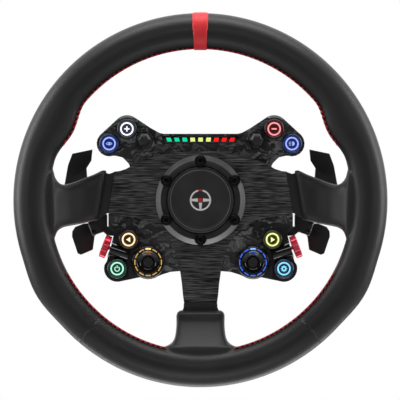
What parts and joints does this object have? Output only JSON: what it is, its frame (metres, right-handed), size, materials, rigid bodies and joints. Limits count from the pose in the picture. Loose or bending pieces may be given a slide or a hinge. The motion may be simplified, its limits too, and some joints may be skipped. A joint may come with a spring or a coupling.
{
  "type": "sim racing steering wheel",
  "caption": "Round leather racing wheel with a three-spoke plate, lit push buttons, dials, thumb wheels, shift and clutch paddles and a quick-release hub.",
  "frame": {"origin": "on the wheel's axis, in the plane of the quick-release hub's rear face", "axes": "+Y along the axis away from the driver, +Z to twelve o'clock, +X to the driver's right"},
  "size_m": [0.3298, 0.1004, 0.3304],
  "materials": {
    "leather_black": "smooth satin leather",
    "leather_red": "smooth satin leather",
    "plate_brushed": "black anodised, brushed along X",
    "steel_black": "black oxide",
    "trim_rubber": "matt",
    "ring_anodised": "black anodised, bare chamfer",
    "cap_satin": "satin",
    "carbon": "chopped carbon under gloss lacquer",
    "plastic_black": "fine spark texture",
    "gloss_black": "polished",
    "board_green": "solder mask",
    "red_anodised": "red anodised, knurled",
    "paddle_black": "fine powder coat",
    "alloy_grey": "machined",
    "glow_white": "lit from behind",
    "glow_blue": "lit from behind",
    "glow_red": "lit from behind",
    "glow_amber": "lit from behind",
    "glow_green": "lit from behind",
    "glow_yellow": "lit from behind",
    "glow_cyan": "lit from behind"
  },
  "bodies": {
    "root": {"rim_frame": "plate_brushed", "grip_left": "leather_black", "grip_right": "leather_black", "grip_bottom": "leather_black", "marker_band": "leather_red", "spoke_trim_left": "trim_rubber", "spoke_trim_right": "trim_rubber", "spoke_trim_bottom": "trim_rubber", "clamp_ring": "ring_anodised", "centre_cap": "cap_satin", "quick_release_hub": "alloy_grey", "wave_spring": "alloy_grey", "front_housing": "carbon", "rear_cover": "plastic_black", "main_board": "board_green", "rev_light_strip": "board_green", "rev_light_window": "gloss_black", "hub_screw_1": "steel_black", "hub_screw_2": "steel_black", "hub_screw_3": "steel_black", "hub_screw_4": "steel_black", "hub_screw_5": "steel_black", "hub_screw_6": "steel_black", "dial_bezel_left": "plastic_black", "encoder_barrel_left": "gloss_black", "paddle_bracket_left": "plastic_black", "paddle_pin_left": "steel_black", "dial_bezel_right": "plastic_black", "encoder_barrel_right": "gloss_black", "paddle_bracket_right": "plastic_black", "paddle_pin_right": "steel_black"},
    "button_top_left": {"button_top_left": "gloss_black"},
    "button_side_left": {"button_side_left": "gloss_black"},
    "button_arrow_left": {"button_arrow_left": "gloss_black"},
    "button_lower_left": {"button_lower_left": "gloss_black"},
    "joystick_yoke_left": {"joystick_yoke_left": "alloy_grey"},
    "joystick_stem_left": {"joystick_stem_left": "alloy_grey"},
    "dial_knob_left": {"dial_knob_left": "gloss_black"},
    "dial_nub_left": {"dial_nub_left": "gloss_black"},
    "toggle_left": {"toggle_left": "plastic_black"},
    "thumb_wheel_left": {"thumb_wheel_left": "red_anodised"},
    "shift_paddle_left": {"shift_paddle_left": "paddle_black"},
    "clutch_paddle_left": {"clutch_arm_left": "paddle_black", "clutch_blade_left": "paddle_black"},
    "button_top_right": {"button_top_right": "gloss_black"},
    "button_side_right": {"button_side_right": "gloss_black"},
    "button_arrow_right": {"button_arrow_right": "gloss_black"},
    "button_lower_right": {"button_lower_right": "gloss_black"},
    "joystick_yoke_right": {"joystick_yoke_right": "alloy_grey"},
    "joystick_stem_right": {"joystick_stem_right": "alloy_grey"},
    "dial_knob_right": {"dial_knob_right": "gloss_black"},
    "dial_nub_right": {"dial_nub_right": "gloss_black"},
    "toggle_right": {"toggle_right": "plastic_black"},
    "thumb_wheel_right": {"thumb_wheel_right": "red_anodised"},
    "shift_paddle_right": {"shift_paddle_right": "paddle_black"},
    "clutch_paddle_right": {"clutch_arm_right": "paddle_black", "clutch_blade_right": "paddle_black"},
    "collar": {"release_collar": "ring_anodised"}
  },
  "joints": [
    {"name": "button_top_left_push", "type": "slide", "parent": "root", "child": "button_top_left", "axis": [0, 1, 0], "range_m": [0, 0.0015], "stiffness_N_per_m": 400},
    {"name": "button_side_left_push", "type": "slide", "parent": "root", "child": "button_side_left", "axis": [0, 1, 0], "range_m": [0, 0.0015], "stiffness_N_per_m": 400},
    {"name": "button_arrow_left_push", "type": "slide", "parent": "root", "child": "button_arrow_left", "axis": [0, 1, 0], "range_m": [0, 0.0015], "stiffness_N_per_m": 400},
    {"name": "button_lower_left_push", "type": "slide", "parent": "root", "child": "button_lower_left", "axis": [0, 1, 0], "range_m": [0, 0.0015], "stiffness_N_per_m": 400},
    {"name": "joystick_up_down_left", "type": "hinge", "parent": "root", "child": "joystick_yoke_left", "pos_m": [-0.0465, -0.06, -0.0552], "axis": [1, 0, 0], "range_deg": [-5, 5], "stiffness_Nm_per_rad": 0.05},
    {"name": "joystick_side_left", "type": "hinge", "parent": "joystick_yoke_left", "child": "joystick_stem_left", "pos_m": [-0.0465, -0.06, -0.0552], "axis": [0, 0, 1], "range_deg": [-5, 5], "stiffness_Nm_per_rad": 0.05},
    {"name": "dial_turn_left", "type": "hinge", "parent": "joystick_stem_left", "child": "dial_knob_left", "pos_m": [-0.0465, -0.06, -0.0552], "axis": [0, 1, 0], "continuous": true},
    {"name": "dial_nub_push_left", "type": "slide", "parent": "joystick_stem_left", "child": "dial_nub_left", "axis": [0, 1, 0], "range_m": [0, 0.0008], "stiffness_N_per_m": 500},
    {"name": "toggle_flick_left", "type": "hinge", "parent": "root", "child": "toggle_left", "pos_m": [-0.05, -0.058, 0.0533], "axis": [1, 0, 0], "range_deg": [-12, 12], "stiffness_Nm_per_rad": 0.06},
    {"name": "thumb_wheel_turn_left", "type": "hinge", "parent": "root", "child": "thumb_wheel_left", "pos_m": [-0.0846, -0.057, -0.0415], "axis": [-0.9361, 0, 0.3518], "continuous": true},
    {"name": "shift_pull_left", "type": "hinge", "parent": "root", "child": "shift_paddle_left", "pos_m": [-0.053, -0.0265, 0.001], "axis": [0, 0, 1], "range_deg": [0, 4.5], "stiffness_Nm_per_rad": 0.8},
    {"name": "clutch_pull_left", "type": "hinge", "parent": "root", "child": "clutch_paddle_left", "pos_m": [-0.053, -0.0265, -0.0205], "axis": [0, 0, 1], "range_deg": [0, 10], "stiffness_Nm_per_rad": 0.6},
    {"name": "button_top_right_push", "type": "slide", "parent": "root", "child": "button_top_right", "axis": [0, 1, 0], "range_m": [0, 0.0015], "stiffness_N_per_m": 400},
    {"name": "button_side_right_push", "type": "slide", "parent": "root", "child": "button_side_right", "axis": [0, 1, 0], "range_m": [0, 0.0015], "stiffness_N_per_m": 400},
    {"name": "button_arrow_right_push", "type": "slide", "parent": "root", "child": "button_arrow_right", "axis": [0, 1, 0], "range_m": [0, 0.0015], "stiffness_N_per_m": 400},
    {"name": "button_lower_right_push", "type": "slide", "parent": "root", "child": "button_lower_right", "axis": [0, 1, 0], "range_m": [0, 0.0015], "stiffness_N_per_m": 400},
    {"name": "joystick_up_down_right", "type": "hinge", "parent": "root", "child": "joystick_yoke_right", "pos_m": [0.0465, -0.06, -0.0552], "axis": [1, 0, 0], "range_deg": [-5, 5], "stiffness_Nm_per_rad": 0.05},
    {"name": "joystick_side_right", "type": "hinge", "parent": "joystick_yoke_right", "child": "joystick_stem_right", "pos_m": [0.0465, -0.06, -0.0552], "axis": [0, 0, 1], "range_deg": [-5, 5], "stiffness_Nm_per_rad": 0.05},
    {"name": "dial_turn_right", "type": "hinge", "parent": "joystick_stem_right", "child": "dial_knob_right", "pos_m": [0.0465, -0.06, -0.0552], "axis": [0, 1, 0], "continuous": true},
    {"name": "dial_nub_push_right", "type": "slide", "parent": "joystick_stem_right", "child": "dial_nub_right", "axis": [0, 1, 0], "range_m": [0, 0.0008], "stiffness_N_per_m": 500},
    {"name": "toggle_flick_right", "type": "hinge", "parent": "root", "child": "toggle_right", "pos_m": [0.05, -0.058, 0.0533], "axis": [1, 0, 0], "range_deg": [-12, 12], "stiffness_Nm_per_rad": 0.06},
    {"name": "thumb_wheel_turn_right", "type": "hinge", "parent": "root", "child": "thumb_wheel_right", "pos_m": [0.0846, -0.057, -0.0415], "axis": [0.9361, 0, 0.3518], "continuous": true},
    {"name": "shift_pull_right", "type": "hinge", "parent": "root", "child": "shift_paddle_right", "pos_m": [0.053, -0.0265, 0.001], "axis": [0, 0, -1], "range_deg": [0, 4.5], "stiffness_Nm_per_rad": 0.8},
    {"name": "clutch_pull_right", "type": "hinge", "parent": "root", "child": "clutch_paddle_right", "pos_m": [0.053, -0.0265, -0.0205], "axis": [0, 0, -1], "range_deg": [0, 10], "stiffness_Nm_per_rad": 0.6},
    {"name": "collar_release", "type": "slide", "parent": "root", "child": "collar", "axis": [0, -1, 0], "range_m": [0, 0.005], "stiffness_N_per_m": 800}
  ]
}
